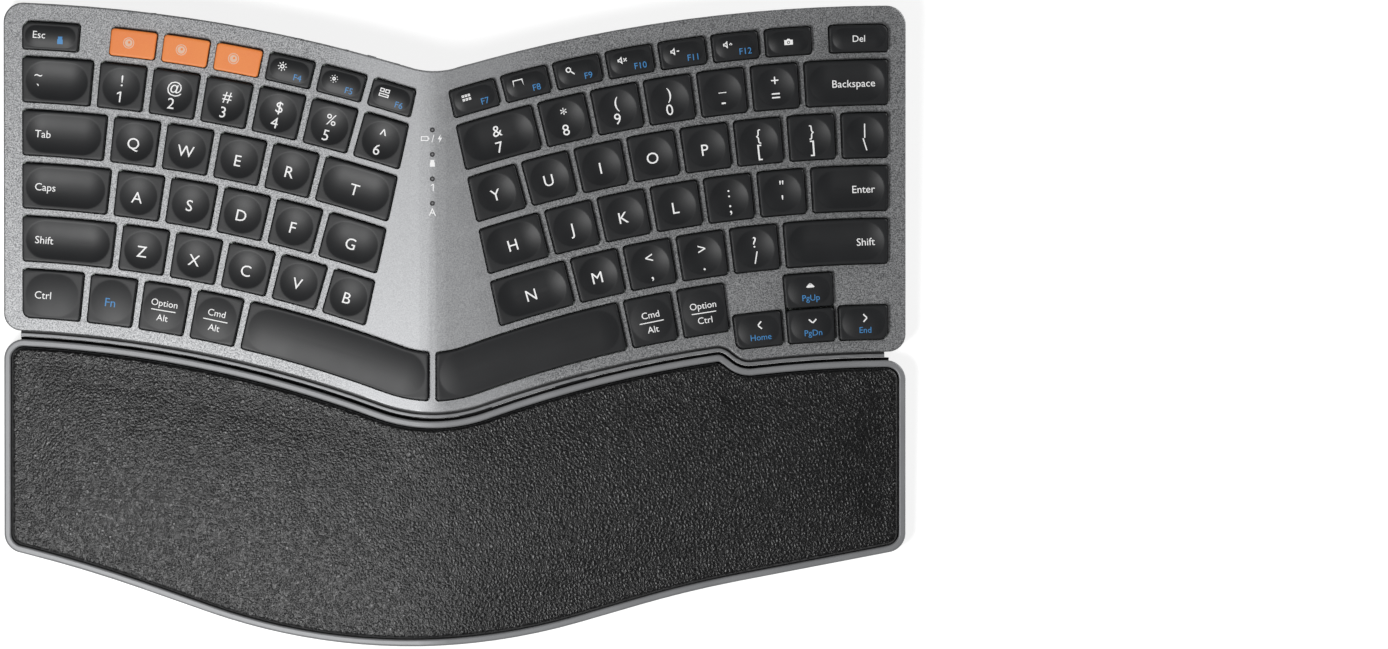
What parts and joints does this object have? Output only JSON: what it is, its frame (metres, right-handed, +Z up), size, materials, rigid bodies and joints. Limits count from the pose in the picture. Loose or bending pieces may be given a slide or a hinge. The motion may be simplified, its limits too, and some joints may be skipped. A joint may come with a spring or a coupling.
{
  "type": "ergonomic split keyboard",
  "caption": "Tented one-piece split keyboard with arced key rows, an arrow cluster and a padded palm rest that pulls off its front edge.",
  "frame": {"origin": "middle of the footprint, on the surface that the rubber pads stand on", "axes": "+X to the right along the key rows, +Y towards the rear edge, +Z up"},
  "size_m": [0.3238, 0.231, 0.0303],
  "materials": {
    "case_paint": "fine metallic grain",
    "trim_metal": "satin",
    "case_plastic": "fine texture",
    "sheet_steel": "bare sheet",
    "membrane": "translucent film",
    "dome_rubber": "silicone",
    "link_plastic": "moulded",
    "circuit_board": "solder mask",
    "battery_wrap": "foil wrap",
    "port_steel": "plated",
    "slider_plastic": "moulded",
    "light_pipe": "clear",
    "screw_steel": "plated",
    "pad_rubber": "matte",
    "magnet": "nickel plated",
    "foot_plastic": "fine texture",
    "tray_plastic": "fine texture",
    "carrier_plastic": "moulded",
    "rim_plastic": "satin",
    "foam": "open foam",
    "leather": "pebbled",
    "keycap": "fine matte"
  },
  "bodies": {
    "case": {"top_plate": "case_paint", "front_trim": "trim_metal", "bottom_cover": "case_plastic", "switch_plates": "sheet_steel", "membranes": "membrane", "rubber_domes": "dome_rubber", "scissor_frames": "link_plastic", "main_board": "circuit_board", "battery": "battery_wrap", "usb_port": "port_steel", "indicator_lights": "light_pipe", "case_screws": "screw_steel", "case_pads": "pad_rubber", "case_magnets": "magnet"},
    "power_slider": {"power_slider": "slider_plastic"},
    "left_foot": {"left_foot": "foot_plastic"},
    "right_foot": {"right_foot": "foot_plastic"},
    "palm_rest": {"rest_tray": "tray_plastic", "rest_carrier": "carrier_plastic", "rest_rim": "rim_plastic", "rest_foam": "foam", "rest_cover": "leather", "rest_pads": "pad_rubber", "rest_magnets": "magnet"},
    "key_q": {"key_q": "keycap"},
    "key_w": {"key_w": "keycap"},
    "key_e": {"key_e": "keycap"},
    "key_r": {"key_r": "keycap"},
    "key_t": {"key_t": "keycap"},
    "key_a": {"key_a": "keycap"},
    "key_s": {"key_s": "keycap"},
    "key_d": {"key_d": "keycap"},
    "key_f": {"key_f": "keycap"},
    "key_g": {"key_g": "keycap"},
    "key_z": {"key_z": "keycap"},
    "key_x": {"key_x": "keycap"},
    "key_c": {"key_c": "keycap"},
    "key_v": {"key_v": "keycap"},
    "key_b": {"key_b": "keycap"},
    "key_y": {"key_y": "keycap"},
    "key_u": {"key_u": "keycap"},
    "key_i": {"key_i": "keycap"},
    "key_o": {"key_o": "keycap"},
    "key_p": {"key_p": "keycap"},
    "key_h": {"key_h": "keycap"},
    "key_j": {"key_j": "keycap"},
    "key_k": {"key_k": "keycap"},
    "key_l": {"key_l": "keycap"},
    "key_n": {"key_n": "keycap"},
    "key_m": {"key_m": "keycap"},
    "key_space_left": {"key_space_left": "keycap"},
    "key_space_right": {"key_space_right": "keycap"},
    "function_keys_left": {"function_keys_left": "keycap"},
    "function_keys_right": {"function_keys_right": "keycap"},
    "number_keys_left": {"number_keys_left": "keycap"},
    "number_keys_right": {"number_keys_right": "keycap"},
    "punctuation_keys": {"punctuation_keys": "keycap"},
    "modifier_keys_left": {"modifier_keys_left": "keycap"},
    "modifier_keys_right": {"modifier_keys_right": "keycap"},
    "arrow_keys": {"arrow_keys": "keycap"}
  },
  "joints": [
    {"name": "palm_rest_slide", "type": "slide", "parent": "case", "child": "palm_rest", "axis": [0, -1, 0], "range_m": [0, 0.06]},
    {"name": "left_foot_hinge", "type": "hinge", "parent": "case", "child": "left_foot", "pos_m": [-0.14033, 0.09498, 0.0029], "axis": [1, 0, 0], "range_deg": [0, 90]},
    {"name": "right_foot_hinge", "type": "hinge", "parent": "case", "child": "right_foot", "pos_m": [0.13814, 0.09394, 0.0029], "axis": [1, 0, 0], "range_deg": [0, 90]},
    {"name": "power_slide", "type": "slide", "parent": "case", "child": "power_slider", "axis": [0.9639, -0.2664, 0], "range_m": [0, 0.002]},
    {"name": "key_h_press", "type": "slide", "parent": "case", "child": "key_h", "axis": [-0.0785, 0.0348, -0.9963], "range_m": [0, 0.0018], "stiffness_N_per_m": 300},
    {"name": "key_space_left_press", "type": "slide", "parent": "case", "child": "key_space_left", "axis": [0.0785, 0.0348, -0.9963], "range_m": [0, 0.0018], "stiffness_N_per_m": 300},
    {"name": "arrow_keys_press", "type": "slide", "parent": "case", "child": "arrow_keys", "axis": [-0.0785, 0.0348, -0.9963], "range_m": [0, 0.0018], "stiffness_N_per_m": 1200},
    {"name": "function_keys_left_press", "type": "slide", "parent": "case", "child": "function_keys_left", "axis": [0.0785, 0.0348, -0.9963], "range_m": [0, 0.0018], "stiffness_N_per_m": 2100},
    {"name": "number_keys_right_press", "type": "slide", "parent": "case", "child": "number_keys_right", "axis": [-0.0785, 0.0348, -0.9963], "range_m": [0, 0.0018], "stiffness_N_per_m": 2100},
    {"name": "modifier_keys_left_press", "type": "slide", "parent": "case", "child": "modifier_keys_left", "axis": [0.0785, 0.0348, -0.9963], "range_m": [0, 0.0018], "stiffness_N_per_m": 2100},
    {"name": "punctuation_keys_press", "type": "slide", "parent": "case", "child": "punctuation_keys", "axis": [-0.0785, 0.0348, -0.9963], "range_m": [0, 0.0018], "stiffness_N_per_m": 2400},
    {"name": "key_space_right_press", "type": "slide", "parent": "case", "child": "key_space_right", "axis": [-0.0785, 0.0348, -0.9963], "range_m": [0, 0.0018], "stiffness_N_per_m": 300},
    {"name": "modifier_keys_right_press", "type": "slide", "parent": "case", "child": "modifier_keys_right", "axis": [-0.0785, 0.0348, -0.9963], "range_m": [0, 0.0018], "stiffness_N_per_m": 1200},
    {"name": "function_keys_right_press", "type": "slide", "parent": "case", "child": "function_keys_right", "axis": [-0.0785, 0.0348, -0.9963], "range_m": [0, 0.0018], "stiffness_N_per_m": 2400},
    {"name": "number_keys_left_press", "type": "slide", "parent": "case", "child": "number_keys_left", "axis": [0.0785, 0.0348, -0.9963], "range_m": [0, 0.0018], "stiffness_N_per_m": 2100},
    {"name": "key_q_press", "type": "slide", "parent": "case", "child": "key_q", "axis": [0.0785, 0.0348, -0.9963], "range_m": [0, 0.0018], "stiffness_N_per_m": 300},
    {"name": "key_w_press", "type": "slide", "parent": "case", "child": "key_w", "axis": [0.0785, 0.0348, -0.9963], "range_m": [0, 0.0018], "stiffness_N_per_m": 300},
    {"name": "key_e_press", "type": "slide", "parent": "case", "child": "key_e", "axis": [0.0785, 0.0348, -0.9963], "range_m": [0, 0.0018], "stiffness_N_per_m": 300},
    {"name": "key_r_press", "type": "slide", "parent": "case", "child": "key_r", "axis": [0.0785, 0.0348, -0.9963], "range_m": [0, 0.0018], "stiffness_N_per_m": 300},
    {"name": "key_t_press", "type": "slide", "parent": "case", "child": "key_t", "axis": [0.0785, 0.0348, -0.9963], "range_m": [0, 0.0018], "stiffness_N_per_m": 300},
    {"name": "key_a_press", "type": "slide", "parent": "case", "child": "key_a", "axis": [0.0785, 0.0348, -0.9963], "range_m": [0, 0.0018], "stiffness_N_per_m": 300},
    {"name": "key_s_press", "type": "slide", "parent": "case", "child": "key_s", "axis": [0.0785, 0.0348, -0.9963], "range_m": [0, 0.0018], "stiffness_N_per_m": 300},
    {"name": "key_d_press", "type": "slide", "parent": "case", "child": "key_d", "axis": [0.0785, 0.0348, -0.9963], "range_m": [0, 0.0018], "stiffness_N_per_m": 300},
    {"name": "key_f_press", "type": "slide", "parent": "case", "child": "key_f", "axis": [0.0785, 0.0348, -0.9963], "range_m": [0, 0.0018], "stiffness_N_per_m": 300},
    {"name": "key_g_press", "type": "slide", "parent": "case", "child": "key_g", "axis": [0.0785, 0.0348, -0.9963], "range_m": [0, 0.0018], "stiffness_N_per_m": 300},
    {"name": "key_z_press", "type": "slide", "parent": "case", "child": "key_z", "axis": [0.0785, 0.0348, -0.9963], "range_m": [0, 0.0018], "stiffness_N_per_m": 300},
    {"name": "key_x_press", "type": "slide", "parent": "case", "child": "key_x", "axis": [0.0785, 0.0348, -0.9963], "range_m": [0, 0.0018], "stiffness_N_per_m": 300},
    {"name": "key_c_press", "type": "slide", "parent": "case", "child": "key_c", "axis": [0.0785, 0.0348, -0.9963], "range_m": [0, 0.0018], "stiffness_N_per_m": 300},
    {"name": "key_v_press", "type": "slide", "parent": "case", "child": "key_v", "axis": [0.0785, 0.0348, -0.9963], "range_m": [0, 0.0018], "stiffness_N_per_m": 300},
    {"name": "key_b_press", "type": "slide", "parent": "case", "child": "key_b", "axis": [0.0785, 0.0348, -0.9963], "range_m": [0, 0.0018], "stiffness_N_per_m": 300},
    {"name": "key_y_press", "type": "slide", "parent": "case", "child": "key_y", "axis": [-0.0785, 0.0348, -0.9963], "range_m": [0, 0.0018], "stiffness_N_per_m": 300},
    {"name": "key_u_press", "type": "slide", "parent": "case", "child": "key_u", "axis": [-0.0785, 0.0348, -0.9963], "range_m": [0, 0.0018], "stiffness_N_per_m": 300},
    {"name": "key_i_press", "type": "slide", "parent": "case", "child": "key_i", "axis": [-0.0785, 0.0348, -0.9963], "range_m": [0, 0.0018], "stiffness_N_per_m": 300},
    {"name": "key_o_press", "type": "slide", "parent": "case", "child": "key_o", "axis": [-0.0785, 0.0348, -0.9963], "range_m": [0, 0.0018], "stiffness_N_per_m": 300},
    {"name": "key_p_press", "type": "slide", "parent": "case", "child": "key_p", "axis": [-0.0785, 0.0348, -0.9963], "range_m": [0, 0.0018], "stiffness_N_per_m": 300},
    {"name": "key_j_press", "type": "slide", "parent": "case", "child": "key_j", "axis": [-0.0785, 0.0348, -0.9963], "range_m": [0, 0.0018], "stiffness_N_per_m": 300},
    {"name": "key_k_press", "type": "slide", "parent": "case", "child": "key_k", "axis": [-0.0785, 0.0348, -0.9963], "range_m": [0, 0.0018], "stiffness_N_per_m": 300},
    {"name": "key_l_press", "type": "slide", "parent": "case", "child": "key_l", "axis": [-0.0785, 0.0348, -0.9963], "range_m": [0, 0.0018], "stiffness_N_per_m": 300},
    {"name": "key_n_press", "type": "slide", "parent": "case", "child": "key_n", "axis": [-0.0785, 0.0348, -0.9963], "range_m": [0, 0.0018], "stiffness_N_per_m": 300},
    {"name": "key_m_press", "type": "slide", "parent": "case", "child": "key_m", "axis": [-0.0785, 0.0348, -0.9963], "range_m": [0, 0.0018], "stiffness_N_per_m": 300}
  ]
}
